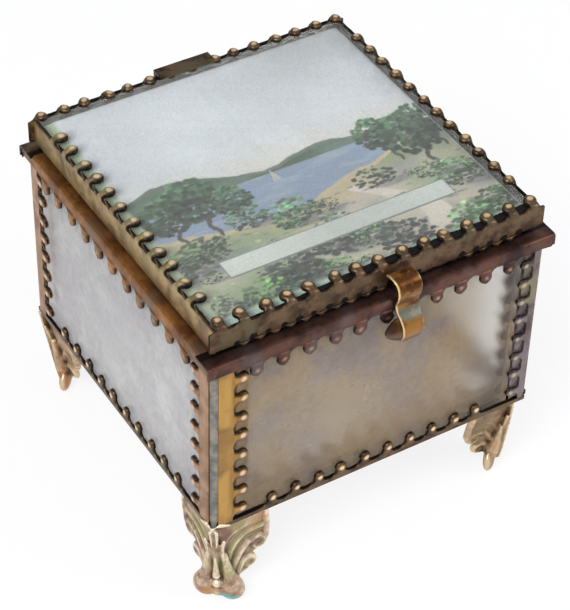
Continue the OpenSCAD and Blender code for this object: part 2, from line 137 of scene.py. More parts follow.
def write_colours(mesh, name, colours):
    """One colour for each point of the mesh."""
    flat = np.ones((len(colours), 4), dtype=np.float32)
    flat[:, :3] = colours
    mesh.attributes.new(name, "FLOAT_COLOR", "POINT").data.foreach_set("color", flat.ravel())


class Shape:
    """Points and faces of one piece, with a tone at each point."""

    def __init__(self):
        self.points = []
        self.faces = []
        self.tones = []

    def point(self, p, tone):
        self.points.append(p)
        self.tones.append(tone)
        return len(self.points) - 1

    def grid(self, rows, closed=False):
        """Faces between rows of point numbers."""
        for a, b in zip(rows, rows[1:]):
            n = len(a)
            for i in range(n if closed else n - 1):
                j = (i + 1) % n
                self.faces.append((a[i], a[j], b[j], b[i]))

    def cap(self, rows):
        """Closes a tube of rows at its two ends."""
        self.faces += [tuple(rows[0]), tuple(rows[-1])]

    def mesh(self, name, matrix):
        mesh = bpy.data.meshes.new(name)
        coords = [tuple(c * MM for c in matrix @ Vector(p)) for p in self.points]
        mesh.from_pydata(coords, [], self.faces)
        write_colours(mesh, "tone", self.tones)
        bm = bmesh.new()
        bm.from_mesh(mesh)
        bmesh.ops.remove_doubles(bm, verts=bm.verts, dist=MERGE * MM)
        bmesh.ops.recalc_face_normals(bm, faces=bm.faces)
        limit = math.radians(SHARP)
        for f in bm.faces:
            f.smooth = True
        for e in bm.edges:
            e.smooth = len(e.link_faces) == 2 and e.calc_face_angle(0) < limit
        bm.to_mesh(mesh)
        bm.free()
        return mesh


def add_object(name, data):
    obj = bpy.data.objects.new(name, data)
    bpy.context.scene.collection.objects.link(obj)
    return obj


def piece(name, mesh, body, material, node):
    """Puts a mesh in the scene, riding on a body, in place of a CAD node."""
    obj = add_object(name, mesh)
    mesh.materials.append(material)
    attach(obj, body)
    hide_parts(node)


def folded(node, shape, matrix, body, metal):
    """A folded strip in place of its flat CAD node."""
    piece(node + "_folded", shape.mesh(node, matrix), body, metal, node)


def along_wall(u, y, z):
    return u, y, z


class Profile:
    """Cross-section of a folded strip: a path over its outer face, with rounded folds."""

    def __init__(self, points, radius, flip=False, place=along_wall):
        pts = [Vector(points[0])]
        for before, here, after in zip(points, points[1:], points[2:]):
            h = Vector(here)
            d0 = (Vector(before) - h).normalized()
            d1 = (Vector(after) - h).normalized()
            cut = radius / math.tan(d0.angle(d1) / 2)
            a, b = h + d0 * cut, h + d1 * cut
            pts += [a * (1 - t) ** 2 + h * 2 * t * (1 - t) + b * t * t for t in fractions(FOLD_STEPS)]
        pts.append(Vector(points[-1]))
        self.pts = np.array([tuple(p) for p in pts])
        self.steps = np.concatenate([[0], np.cumsum(np.linalg.norm(np.diff(self.pts, axis=0), axis=1))])
        self.length = self.steps[-1]
        self.sign = -1 if flip else 1
        self.place = place

    def on_path(self, s):
        return np.array([np.interp(s, self.steps, self.pts[:, k]) for k in (0, 1)])

    def at(self, u, s, lift):
        """The point at u along the strip and s along the path, lifted off its face."""
        x, y = self.on_path(s)
        dx, dy = self.on_path(min(s + SLOPE_STEP, self.length)) - self.on_path(max(s - SLOPE_STEP, 0))
        n = math.hypot(dx, dy) or 1
        return self.place(u, x - self.sign * dy / n * lift, y + self.sign * dx / n * lift)


def shaded_from_start(s, shadow_len):
    """Painted shade that fades out along a strip from its start, up to the given length."""
    return unit((shadow_len - s) / 0.5)


def add_claw(shape, profile, middle, start, band_end, reach, pitch, neck, head, dome, rng, shadow_len, edge_shadow, under):
    """One claw with its share of the band: scallop, neck and domed round head, with a painted highlight on
    the dome and painted shade round its edges. An edge shadow is painted shade along its far edge.
    """
    r = (pitch - neck) / 2
    size = head / 2 * rng.uniform(0.92, 1.08)
    tip = band_end + reach * rng.uniform(0.95, 1.03)
    centre = tip - size
    shift = rng.uniform(-CLAW_WOBBLE, CLAW_WOBBLE)
    lean = rng.uniform(-CLAW_WOBBLE, CLAW_WOBBLE)
    high = dome * rng.uniform(0.8, 1.15)
    shade = rng.random()
    band = list(np.arange(start, band_end - 0.05, BAND_STEP))
    claw = list(np.arange(band_end, tip - 0.02, CLAW_STEP)) + [tip - 0.07, tip - 0.02, tip]
    rows = []
    for s in band + claw:
        gap = math.sqrt(max(0, r * r - (band_end + r - s) ** 2)) if band_end < s < band_end + r else 0
        if s >= band_end + r:
            gap = r
        round_part = math.sqrt(max(0, size * size - (s - centre) ** 2)) if s > centre - size else 0
        half = pitch / 2 - gap
        if s > band_end + 0.3 * r:
            half = max(half if s < centre else 0, round_part)
        loose = unit((pitch / 2 - half) / 0.3)
        out = unit((s - band_end) / reach)
        top, low = [], []
        for c in CLAW_ACROSS:
            u = half * c
            ball = max(0, 1 - ((s - centre) / size) ** 2 - (u / size) ** 2) if s > centre - size else 0
            ridge = max(0, 1 - c * c) * CLAW_RIDGE * loose * (1 - out * 0.4)
            lift = high * (0.45 * math.sqrt(ball) + 0.55 * ball) + ridge * (1 - ball)
            if abs(c) == 1:
                lift -= CLAW_TURNED_DOWN * loose
            x = middle + u + shift * out + lean * (s - band_end) * loose
            # Painted highlight on the dome, with a little wear where the claw stands free
            wear_and_highlight = min(1, 0.08 * loose + 1.3 * ball ** 3.3 * min(1, dome / 0.3))
            # Painted shade round the head and the turned-down edges, from the strip's start and along the far
            # edge
            outline_shade = (1 - ball) ** 5 * loose if s > centre - size * 0.6 else abs(c) ** 4 * loose
            far = edge_shadow * loose * unit((c - 0.4) / 0.3) * (1 - 0.5 * ball)
            grime_and_shade = max(0.75 * outline_shade, shaded_from_start(s, shadow_len), far)
            top.append(shape.point(profile.at(x, s, lift), (wear_and_highlight, grime_and_shade, shade)))
            low.append(shape.point(profile.at(x, s, -SHEET), (*under, shade)))
        rows.append((top, low, loose))
    shape.grid([t for t, _, _ in rows])
    shape.grid([b[::-1] for _, b, _ in rows])
    for (t0, b0, l0), (t1, b1, l1) in zip(rows, rows[1:]):
        if l0 + l1 > 0:
            shape.faces.append((t0[0], t1[0], b1[0], b0[0]))
            shape.faces.append((t0[-1], b0[-1], b1[-1], t1[-1]))


def add_band(shape, profile, x0, x1, start, end, shadow_len=0, under=IN_SHADE):
    """A plain length of folded strip, with painted shade from its start and on its inner face."""
    if x1 - x0 < 0.05:
        return
    xs = np.linspace(x0, x1, max(2, int((x1 - x0) / 2) + 2))
    rows = []
    for s in list(np.arange(start, end - 0.05, 0.2)) + [end]:
        top = [shape.point(profile.at(x, s, 0), (0.12, shaded_from_start(s, shadow_len), 0.5)) for x in xs]
        low = [shape.point(profile.at(x, s, -SHEET), (*under, 0.5)) for x in xs[::-1]]
        rows.append(top + low)
    shape.grid(rows, closed=True)
    for ring in (rows[0], rows[-1]):
        n = len(xs)
        for i in range(n - 1):
            shape.faces.append((ring[i], ring[i + 1], ring[2 * n - 2 - i], ring[2 * n - 1 - i]))


def add_shadow_sheet(shape, profile, x0, x1, start, left, right, rng, tone=BLACK):
    """Painted shade under the claws: a sheet against the glass, as wide as left and right at its two ends,
    with a ragged edge.
    """
    columns = []
    count = int((x1 - x0) / SHADOW_STEP)
    drift = 0
    for i in range(count + 1):
        t = i / count
        drift = drift * 0.8 + rng.uniform(-0.09, 0.09)
        width = max(SHADOW_MIN, min(SHADOW_MAX, left * (1 - t) + right * t) + drift)
        x = x0 + (x1 - x0) * t
        film = [profile.at(x, start + width * k, 0.03 - SHEET) for k in fractions(2)]
        columns.append([shape.point(p, tone) for p in film])
    shape.grid(columns)


def add_lump(shape, centre, radii, seed):
    """An uneven round lump, as where strips were soldered together."""
    rings = []
    around, down = 24, 16
    for i in range(1, down):
        a = math.pi * i / down
        ring = []
        for j in range(around):
            b = TAU * j / around
            r = 1 + 0.1 * math.sin(3 * b + seed) + 0.08 * math.sin(5 * a + 2 * b + 2 * seed)
            ball = (math.sin(a) * math.cos(b), math.sin(a) * math.sin(b), math.cos(a))
            ring.append(shape.point([c + r * k * v for c, k, v in zip(centre, radii, ball)], (0.25, 0, 0.5)))
        rings.append(ring)
    shape.grid(rings, closed=True)
    shape.cap(rings)


def add_shadow_hole(shape, x, z, r, rng):
    """A black, uneven patch on a strip's outer face: painted shade for a gap."""
    ring = []
    corners = 14
    for k in range(corners):
        a = TAU * k / corners
        q = r * rng.uniform(0.8, 1.15)
        ring.append(shape.point((x + q * math.cos(a), -0.015, z + 0.95 * q * math.sin(a)), BLACK))
    shape.faces.append(tuple(ring))


def comb(shape, profile, length, band_end, reach, count, pitch, seed, neck=NECK_W, head=HEAD_D, dome=0.55,
         shadow_width=(0, 0), shadow_fill=BLACK, shadow_len=0, edge_shadow=0, under=IN_SHADE, start=0, ledge=None, missing=()):
    """A strip of claws centred on its length, with plain ends. A ledge is a first stretch of another length.

    The painted shade between the claws is a sheet against the glass, as wide at the strip's two ends as the
    two widths given, and of the tone given. Painted shade also darkens the strip from its start for a given
    length, and under is the tone of its inner face, painted shade or painted light.
    """
    rng = random.Random(seed)
    first = -(count - 1) * pitch / 2
    for i in range(count):
        left_reach, left_dome = (0.1, 0) if i in missing else (reach, dome)
        add_claw(shape, profile, first + i * pitch, start, band_end, left_reach, pitch, neck, head, left_dome,
                 rng, shadow_len, edge_shadow, under)
    ends = [(length, start, band_end)]
    if ledge:
        ends = [(ledge[1], start, ledge[0]), (length, ledge[0], band_end)]
    for span, low, high in ends:
        add_band(shape, profile, -span / 2, first - pitch / 2, low, high, shadow_len, under)
        add_band(shape, profile, first + (count - 0.5) * pitch, span / 2, low, high, shadow_len, under)
    if max(shadow_width) > 0:
        end, lap = length / 2 - 0.2, 0.15
        add_shadow_sheet(shape, profile, -end, end, band_end - lap, shadow_width[0] + lap, shadow_width[1] + lap, rng, shadow_fill)


# Materials


def new_material(name):
    material = bpy.data.materials.new(name)
    material.use_nodes = True
    tree = material.node_tree
    tree.nodes.clear()
    return material, tree


def surface(tree, shader, kind="Material"):
    add_node(tree, "Output" + kind, {"Surface": shader.outputs[0]})


def glossy(tree, base, rough, **inputs):
    """The surface is one coated or metal shader."""
    surface(tree, add_node(tree, "BsdfPrincipled", {"Base Color": base, "Roughness": rough, **inputs}))


def add_node(tree, kind, inputs=None, **settings):
    """A shader node. An input is another node's output or a value; a colour's alpha may be left out."""
    node = tree.nodes.new("ShaderNode" + kind)
    for key, value in settings.items():
        setattr(node, key, value)
    for key, value in (inputs or {}).items():
        socket = node.inputs[key]
        if isinstance(value, bpy.types.NodeSocket):
            tree.links.new(value, socket)
        elif isinstance(value, tuple) and len(value) < len(socket.default_value):
            socket.default_value = (*value, 1)
        else:
            socket.default_value = value
    return node


def mixed(tree, factor, a, b, blend="MIX"):
    return add_node(tree, "Mix", {0: factor, 6: a, 7: b}, data_type="RGBA", blend_type=blend).outputs[2]


def blended(tree, amount, a, b):
    return add_node(tree, "MixShader", {0: amount, 1: a.outputs[0], 2: b.outputs[0]})


def math_node(tree, operation, a, b=0.0, clamp=False):
    return add_node(tree, "Math", {0: a, 1: b}, operation=operation, use_clamp=clamp).outputs[0]


def scaled(tree, value, by, plus, clamp=False):
    """The value times by, plus a number or another value."""
    return math_node(tree, "ADD", math_node(tree, "MULTIPLY", value, by), plus, clamp)


def ramp(tree, value, low, high):
    """Maps low..high of a value smoothly to 0..1."""
    return add_node(tree, "MapRange", {0: value, 1: low, 2: high}, interpolation_type="SMOOTHSTEP").outputs[0]


def noise_at(tree, scale, detail=4, rough=0.6, stretch=(1, 1, 1)):
    coords = add_node(tree, "TexCoord")
    mapping = add_node(tree, "Mapping", {"Vector": coords.outputs["Object"], "Scale": stretch})
    inputs = {"Vector": mapping.outputs[0], "Scale": scale, "Detail": detail, "Roughness": rough}
    return add_node(tree, "TexNoise", inputs).outputs["Fac"]


def brass(name, dark, body, bright, grain, rough, tint=None, metallic=0.85, stretch=(1, 1, 1),
          patina=None, shadow_colour=(0.012, 0.01, 0.009), blush=None):
    """Aged brass: its own colour on the flats, darkened with painted shade where the tone's grime is high,
    and brightened with wear and painted highlights where its wear is high.

    Tint and blush are stains in patches. The patina goes where the tone's third value is high.
    """
    material, tree = new_material(name)
    tone = add_node(tree, "Attribute", attribute_name="tone")
    parts = add_node(tree, "SeparateColor", {"Color": tone.outputs["Color"]})
    wear_and_highlight, grime_and_shade, shade = parts.outputs
    patches = noise_at(tree, grain, 5, 0.62, stretch)
    fine = noise_at(tree, grain * 5, 3, 0.6)
    base = mixed(tree, ramp(tree, patches, 0.36, 0.62), dark, body)
    if tint:
        base = mixed(tree, ramp(tree, noise_at(tree, grain * 0.45, 3), 0.5, 0.66), base, tint)
    if blush:
        base = mixed(tree, ramp(tree, noise_at(tree, grain * 0.3, 4, 0.7), 0.52, 0.66), base, blush)
    if patina:
        cover = math_node(tree, "ADD", shade, math_node(tree, "SUBTRACT", patches, 0.5))
        base = mixed(tree, ramp(tree, cover, 0.45, 0.85), base, patina)
    else:
        base = mixed(tree, math_node(tree, "MULTIPLY", shade, 0.3), base, body)
    rubbed_and_lit = scaled(tree, math_node(tree, "SUBTRACT", fine, 0.5), 0.9, wear_and_highlight)
    base = mixed(tree, ramp(tree, rubbed_and_lit, 0.3, 1.05), base, bright)
    shadow_fill = math_node(tree, "MULTIPLY", grime_and_shade, 1.0, clamp=True)
    base = mixed(tree, shadow_fill, base, shadow_colour)
    bump = add_node(tree, "Bump", {"Height": patches, "Strength": 0.35, "Distance": 0.00012})
    glossy(tree, base, scaled(tree, fine, 0.3, rough - 0.12), Metallic=metallic, Normal=bump.outputs[0])
    return material


def glass(name, colour, film, other, film_amount, rough, spots=120, low=None, blotch=0.2, axis=0, clean=None):
    """Old glass: clear below, with a dusty film in two colours that light also falls on.

    The film is thicker at the pane's ends along the axis, and thins out towards the first x of clean. Low is
    its colour near the pane's bottom.
    """
    material, tree = new_material(name)
    inputs = {"Base Color": colour, "Transmission Weight": 1.0, "Roughness": rough, "IOR": 1.45}
    clear = add_node(tree, "BsdfPrincipled", inputs)
    split = add_node(tree, "SeparateXYZ", {"Vector": add_node(tree, "TexCoord").outputs["Object"]})
    film_colour = mixed(tree, ramp(tree, noise_at(tree, spots, 5, 0.65), 0.42, 0.6), film, other)
    if low:
        down = math_node(tree, "MULTIPLY", ramp(tree, split.outputs[2], 0.05, 0.02), 0.6)
        film_colour = mixed(tree, down, film_colour, low)
    specks = ramp(tree, noise_at(tree, 700, 4, 0.7), 0.35, 0.7)
    film_colour = mixed(tree, specks, film_colour, (0.84, 0.83, 0.82), "MULTIPLY")
    lit = add_node(tree, "BsdfDiffuse", {"Color": film_colour})
    glow = add_node(tree, "BsdfTranslucent", {"Color": film_colour})
    haze = blended(tree, 0.5, lit, glow)
    cloud = ramp(tree, noise_at(tree, spots * 0.4, 4, 0.6), 0.3, 0.7)
    amount = scaled(tree, cloud, blotch, film_amount - blotch / 2)
    if clean:
        left = scaled(tree, ramp(tree, split.outputs[0], *clean), 0.85, 0.15)
        amount = math_node(tree, "MULTIPLY", amount, left)
    if axis is not None:
        end = ramp(tree, math_node(tree, "ABSOLUTE", split.outputs[axis]), 0.0235, 0.027)
        amount = scaled(tree, end, 0.4, amount, clamp=True)
    dusty = blended(tree, amount, clear, haze)
    shadow = add_node(tree, "LightPath").outputs["Is Shadow Ray"]
    through = add_node(tree, "BsdfTransparent", {"Color": (0.9, 0.9, 0.9)})
    surface(tree, blended(tree, shadow, dusty, through))
    return material


def plain(name, colour, other, scale, rough=0.7, bump_amount=0.2):
    material, tree = new_material(name)
    patches = noise_at(tree, scale, 5)
    base = mixed(tree, ramp(tree, patches, 0.35, 0.65), colour, other)
    bump = add_node(tree, "Bump", {"Height": patches, "Strength": bump_amount, "Distance": 0.0001})
    glossy(tree, base, rough, Normal=bump.outputs[0])
    return material


DARK = brass("dark_brass", (0.035, 0.02, 0.013), (0.165, 0.1, 0.055), (0.95, 0.66, 0.36), 300, 0.34,
    (0.13, 0.1, 0.055))
PURPLE = brass("purple_brass", (0.035, 0.018, 0.018), (0.135, 0.062, 0.045), (0.55, 0.36, 0.25), 220, 0.38,
    (0.12, 0.1, 0.1))
LILAC = brass("lilac_brass", (0.07, 0.05, 0.05), (0.24, 0.19, 0.2), (0.5, 0.4, 0.24), 220, 0.42,
    (0.26, 0.23, 0.13))
RED = brass("red_brass", (0.13, 0.05, 0.016), (0.36, 0.16, 0.045), (0.6, 0.38, 0.2), 200, 0.4,
    (0.16, 0.1, 0.06))
OLIVE = brass("olive_brass", (0.15, 0.09, 0.04), (0.46, 0.34, 0.16), (0.9, 0.72, 0.45), 300, 0.38,
    (0.3, 0.25, 0.13), blush=(0.3, 0.16, 0.12))
TAN = brass("tan_brass", (0.11, 0.065, 0.04), (0.3, 0.19, 0.105), (0.68, 0.48, 0.29), 240, 0.36,
    (0.16, 0.13, 0.075))
PINK = brass("pink_brass", (0.2, 0.1, 0.05), (0.44, 0.26, 0.16), (0.7, 0.5, 0.34), 240, 0.36,
    (0.3, 0.17, 0.07))
GOLD = brass("gold_brass", (0.18, 0.08, 0.02), (0.52, 0.3, 0.085), (0.78, 0.56, 0.38), 200, 0.34,
    (0.25, 0.14, 0.05), stretch=(1, 1, 0.15))
CLASP_METAL = brass("clasp_brass", (0.09, 0.03, 0.008), (0.33, 0.15, 0.035), (0.85, 0.6, 0.3), 220, 0.3,
    patina=(0.17, 0.17, 0.13))
GILT = brass("foot_gilt", (0.24, 0.14, 0.1), (0.55, 0.41, 0.28), (0.82, 0.69, 0.52), 260, 0.4,
    (0.34, 0.3, 0.14), 0.7, patina=(0.12, 0.4, 0.4), shadow_colour=(0.1, 0.075, 0.045),
    blush=(0.46, 0.24, 0.09))
BRONZE = brass("foot_bronze", (0.2, 0.11, 0.06), (0.44, 0.29, 0.17), (0.66, 0.5, 0.32), 200, 0.42,
    (0.24, 0.2, 0.1), 0.7, shadow_colour=(0.08, 0.055, 0.03), blush=(0.42, 0.17, 0.07))
SOLDER = plain("solder", (0.1, 0.1, 0.095), (0.24, 0.21, 0.17), 500, 0.4, 0.5)
BOARD = plain("board", (0.55, 0.51, 0.43), (0.48, 0.44, 0.37), 400)
SIDE_METAL = {FRONT: PURPLE, RIGHT: DARK, BACK: DARK, LEFT: RED}

DUST, OLD_DUST = (0.6, 0.58, 0.56), (0.66, 0.66, 0.67)
PANES = {
    "front_pane": glass("front_glass", (0.96, 0.95, 0.92), (0.49, 0.355, 0.19), (0.35, 0.28, 0.25), 0.54,
        0.22, 90, (0.42, 0.33, 0.24), 0.25, 0, (0.026, 0.012)),
    "left_pane": glass("left_glass", (0.97, 0.97, 0.98), (0.66, 0.65, 0.67), (0.78, 0.79, 0.79), 0.62, 0.25,
        axis=1),
    "right_pane": glass("right_glass", (0.98, 0.98, 0.98), (0.82, 0.81, 0.79), (0.78, 0.78, 0.78), 0.1, 0.1,
        blotch=0.1, axis=1),
    "back_pane": glass("back_glass", (0.97, 0.97, 0.98), DUST, OLD_DUST, 0.5, 0.25),
    "floor_pane": glass("floor_glass", (0.97, 0.97, 0.98), DUST, OLD_DUST, 0.4, 0.25, axis=None),
    "lid_pane": glass("lid_glass", (0.96, 0.985, 0.965), (0.86, 0.88, 0.85), (0.9, 0.9, 0.9), 0.12, 0.02,
        blotch=0.05, axis=None),
}


# Claw strips of the body


def make_rim(word, side):
    through = side % 2 == 0
    outer_len = BODY + (2 * (RIM_PROUD + RIM_EAR) - 0.02 if through else 2 * (RIM_PROUD - SHEET))
    inner_len = BODY - 2 * WALL_T + (2 * SHEET if through else 0)
    count = count_in(BODY - 2 * RIM_CLEAR, RIM_PITCH)
    outer = Profile([(WALL_T, BODY_H), (-RIM_PROUD, BODY_H), (-RIM_PROUD, BODY_H - 6)], 0.6, flip=True)
    inner = Profile([(WALL_T - 0.4, BODY_H), (WALL_T, BODY_H), (WALL_T, BODY_H - 5)], 0.2)
    shape = Shape()
    top = WALL_T + RIM_PROUD
    ledge = None if through else (top, BODY - 2 * WALL_T - 0.04)
    # Painted shade: a dark sheet between the claws, and a darker first stretch of the ledge under the lid
    comb(shape, outer, outer_len, top + RIM_BAND - 0.35, CLAW_REACH, count, RIM_PITCH, 10 + side, neck=2.2,
         head=2.3, dome=0.16, shadow_width=(0.25, 0.5), shadow_len=1.9 if side == FRONT else 1.5, ledge=ledge)
    if through:
        for end in (-1, 1):
            add_lump(shape, (end * (BODY / 2 - 0.1), 0.1, BODY_H - 1.15), (0.75, 0.72, 1.1), side + end)
    comb(shape, inner, inner_len, RIM_INNER_BAND + 0.3, INNER_REACH, count - 2, RIM_PITCH, 20 + side)
    folded(word + "_rim_strip", shape, on_wall(side), "casket", SIDE_METAL[side])


def make_bottom(word, side):
    length = BODY - 2 * GROOVE
    count = count_in(length - 2 * (UPRIGHT_BAND + CLAW_REACH + 1.2), BOTTOM_PITCH)
    outer = Profile([(WALL_T - 0.5, 0), (0, 0), (0, 5)], 0.25)
    inner = Profile([(WALL_T - 0.5, 0), (WALL_T, 0), (WALL_T, 5)], 0.25, flip=True)
    shape = Shape()
    # Painted shade: a dark sheet between the claws
    comb(shape, outer, length, WALL_T - 0.5 + BOTTOM_BAND, CLAW_REACH, count, BOTTOM_PITCH, 30 + side,
         neck=1.4, head=1.9, dome=0.45, shadow_width=(0.6, 0.45))
    inner_len = length - 2 * WALL_T
    comb(shape, inner, inner_len, 0.5 + BOTTOM_BAND, INNER_REACH, count - 2, BOTTOM_PITCH, 40 + side)
    folded(word + "_bottom_strip", shape, on_wall(side), "casket", DARK)


def make_upright(word, side, end):
    def place(u, x, y):
        return -end * x, y, BOTTOM_BAND + UPRIGHT_LEN / 2 + u

    count = count_in(UPRIGHT_LEN - 0.6, UPRIGHT_PITCH)
    edge = GROOVE - BODY / 2
    back = edge + WALL_T
    outer = Profile([(back, WALL_T), (edge, 0), (edge + 8, 0)], 0.3, True, place)
    inner = Profile([(back - 0.3, WALL_T - 0.3), (back, WALL_T), (back + 8, WALL_T)], 0.1, False, place)
    web = math.hypot(WALL_T, WALL_T)
    shape = Shape()
    narrow = side == FRONT and end > 0
    # Painted shade: a sheet between the claws, black on most uprights and lighter on the narrow one, a dark
    # web in the groove and a dark far edge on each claw. The inner faces get a little painted light.
    if narrow:
        band, neck, head, wide, shadow_fill, metal = RIGHT_BAND, 1.5, 1.9, 1.7, (0.2, 0, 1), LILAC
    else:
        band, neck, head, shadow_fill = UPRIGHT_BAND, 1.9, 2.2, BLACK
        wide = 0.15 if side in (FRONT, LEFT) else 0.6
        metal = {FRONT: GOLD, LEFT: PINK}.get(side, TAN)
    comb(shape, outer, UPRIGHT_LEN, web + band, CLAW_REACH, count, UPRIGHT_PITCH, 50 + side * 2 + end,
         neck=neck, head=head, dome=0.4, shadow_width=(wide, wide), shadow_fill=shadow_fill, shadow_len=web - 0.3, edge_shadow=1, under=(0.1, 0))
    comb(shape, inner, UPRIGHT_LEN, band - 0.2, INNER_REACH - 0.9, count, UPRIGHT_PITCH, 60 + side * 2 + end,
         under=(0.55 if side == FRONT else 0.1, 0))
    name = "%s_%s_upright" % (word, "left" if end < 0 else "right")
    folded(name, shape, on_wall(side), "casket", metal)


def make_floor_strip(word, side):
    through = side % 2 == 0
    length = FLOOR_SPAN - (0 if through else 2 * (FLOOR_BAND + 0.05))
    clear = FLOOR_BAND + INNER_REACH + 0.6 - (0 if through else FLOOR_BAND)
    count = count_in(length - 2 * clear, BOTTOM_PITCH)
    shape = Shape()
    band_end = FLOOR_T / 2 + FLOOR_BAND - 0.1
    for z, seed in ((FLOOR_T, 70 + side), (0, 80 + side)):
        profile = Profile([(0, FLOOR_T / 2), (0, z), (6, z)], 0.2, flip=z == 0)
        comb(shape, profile, length, band_end, INNER_REACH, count, BOTTOM_PITCH, seed)
    folded("floor_%s_strip" % word, shape, on_floor(side), "casket", TAN)


# Claw strips of the lid


def add_front_teeth(shape):
    """The lid's front hangs over in a row of fine teeth, three teeth broken off, with its gaps above them and
    a sheet behind them painted black as shade.
    """
    count = count_in(LID_W - 2 * TOOTH_PITCH, TOOTH_PITCH)
    span = LID_W - 2 * (LID_STEP + SHEET)
    top, behind_y = 0.2, SHEET + 0.2
    down = Profile([(0, top), (0, -1), (0, -3)], 0.1, flip=True)
    ledge = Profile([(0.2, top), (LEDGE, top), (LEDGE + 1, top)], 0.1, flip=True)
    behind = Profile([(behind_y, top), (behind_y, -0.4), (behind_y, -TOOTH_DROP + 0.05)], 0.05, flip=True)
    comb(shape, down, span, 0.25, TOOTH_DROP - 0.05, count, TOOTH_PITCH, 99, neck=1.25, head=TOOTH_W + 0.3,
         dome=0.12, start=0.2, missing=(12, 13, 14))
    add_band(shape, ledge, -span / 2, span / 2, 0, LEDGE)
    add_shadow_sheet(shape, behind, -span / 2, span / 2, 0, TOOTH_DROP, TOOTH_DROP, random.Random(0))
    rng = random.Random(7)
    for i in range(count + 1):
        if i not in (13, 14):
            x = (i - count / 2) * TOOTH_PITCH + rng.uniform(-0.2, 0.2)
            add_shadow_hole(shape, x, top, rng.uniform(0.55, 0.85), rng)


def make_lid_strip(word, side):
    through = side % 2 == 0
    length = LID_W if through else LID_D
    base = 0 if side == FRONT else -0.6
    fold = LID_H - base
    scallop = (LID_PITCH - NECK_W) / 2
    count = count_in(length - 2.4, LID_PITCH) + 1 if through else count_in(length - 9.2, LID_PITCH)
    outer = Profile([(0, base), (0, LID_H), (8, LID_H)], 0.5)
    shape = Shape()
    far = side in (RIGHT, BACK)
    end_gap, short, neck, head = (0, 0.9, 1.4, 2.0) if far else (0.2, 0.45, 1.7, 2.3)
    # Painted shade: a sheet between the claws, widest towards the front's right end, and a dark far edge on
    # the left strip's claws. The inner faces get painted light.
    comb(shape, outer, length - (0 if through else 2 * SHEET), fold - scallop + end_gap,
         scallop + CLAW_REACH - short, count, LID_PITCH, 90 + side, neck=neck, head=head, dome=0.5,
         shadow_width=(0.2, 5.5) if side == FRONT else (1.3, 1.3), edge_shadow=1.3 if side == LEFT else 0, under=(0.4, 0.1))
    if side == FRONT:
        add_front_teeth(shape)
    else:
        lower_len = length - 2 * (LID_STEP + (0 if through else SHEET))
        ledge_len = lower_len - 2 * (SHEET if through else LEDGE)
        teeth = count_in(lower_len - 2 * (LEDGE + FINE_REACH + 1), TOOTH_PITCH)
        drop = PANE_Z - SHEET
        step = Profile([(LID_STEP, drop), (LID_STEP, 0), (LID_STEP + 6, 0)], 0.15, flip=True)
        comb(shape, step, ledge_len, drop + LEDGE - 0.3, FINE_REACH, teeth, TOOTH_PITCH, 95 + side, neck=0.84,
             head=TOOTH_W, dome=0.2)
    folded("lid_%s_strip" % word, shape, on_lid(side), "lid", OLIVE if side == LEFT else DARK)


for word, side in SIDES.items():
    make_rim(word, side)
    make_bottom(word, side)
    make_upright(word, side, -1)
    make_upright(word, side, 1)
    make_floor_strip(word, side)
    make_lid_strip(word, side)


# Solder in the grooves


def make_seam(word, sx, sy):
    rng = random.Random(sx * 3 + sy + 200)
    phases = [rng.uniform(0, 6.3) for _ in range(6)]
    inner, outer = 0.38, GROOVE + 0.38
    shape = Shape()
    rows = []
    for up in fractions(120):
        z = (BODY_H - RIM_BAND) * up
        row = []
        for t in fractions(6):
            x, y = outer * (1 - t) + inner * t, inner * (1 - t) + outer * t
            wave = sum(math.sin(z * f + p + 2 * t) for f, p in zip((0.7, 1.5, 2.7, 4.3), phases)) * 0.06
            out = (0.12 + wave) * math.sin(math.pi * t) * 0.7
            grime_and_shade = 0.8 if t in (0, 1) else 0
            row.append(shape.point((x - out, y - out, FOOT_H + z), (0.3, grime_and_shade, rng.random())))
        row.append(shape.point((WALL_T, WALL_T, FOOT_H + z), (*IN_SHADE, 0)))
        rows.append(row)
    shape.grid(rows, closed=True)
    shape.cap(rows)
    name = "seam_" + word
    piece(name + "_solder", shape.mesh(name, corner_matrix(sx, sy)), "casket", SOLDER, name)


# Feet: each is modelled once in the corner's frame, from rounded forms that are fused and smoothed


VOLUTE_TURNS, VOLUTE_STEPS = 1.2, 26
DIAGONAL = Matrix.Rotation(math.radians(45), 4, "Z")


def add_ball(bm, centre, radii, axes=Matrix.Identity(4)):
    matrix = Matrix.Translation(centre) @ axes @ Matrix.Diagonal((*radii, 1))
    bmesh.ops.create_icosphere(bm, subdivisions=3, radius=1, matrix=matrix)


def add_tube(bm, points, radii, sides=10):
    """A closed tube through the points, with its own radius at each."""
    rings = []
    count = len(points)
    for i, (p, r) in enumerate(zip(points, radii)):
        d = (points[min(i + 1, count - 1)] - points[max(i - 1, 0)]).normalized()
        a = d.orthogonal().normalized()
        b = d.cross(a)
        rings.append([bm.verts.new(p + (a * math.cos(t) + b * math.sin(t)) * r)
                      for t in (TAU * k / sides for k in range(sides))])
    for r0, r1 in zip(rings, rings[1:]):
        best = min(range(sides), key=lambda k: (r1[k].co - r0[0].co).length)
        for k in range(sides):
            bm.faces.new((r0[k], r0[(k + 1) % sides], r1[(k + 1 + best) % sides], r1[(k + best) % sides]))
    bm.faces.new(rings[0])
    bm.faces.new(rings[-1][::-1])
    add_ball(bm, points[0], (radii[0],) * 3)
    add_ball(bm, points[-1], (radii[-1],) * 3)


def add_slab(bm, low, top):
    """A slab between two outlines."""
    bm.faces.new(low[::-1])
    bm.faces.new(top)
    for i in range(len(low)):
        j = (i + 1) % len(low)
        bm.faces.new((low[i], low[j], top[j], top[i]))


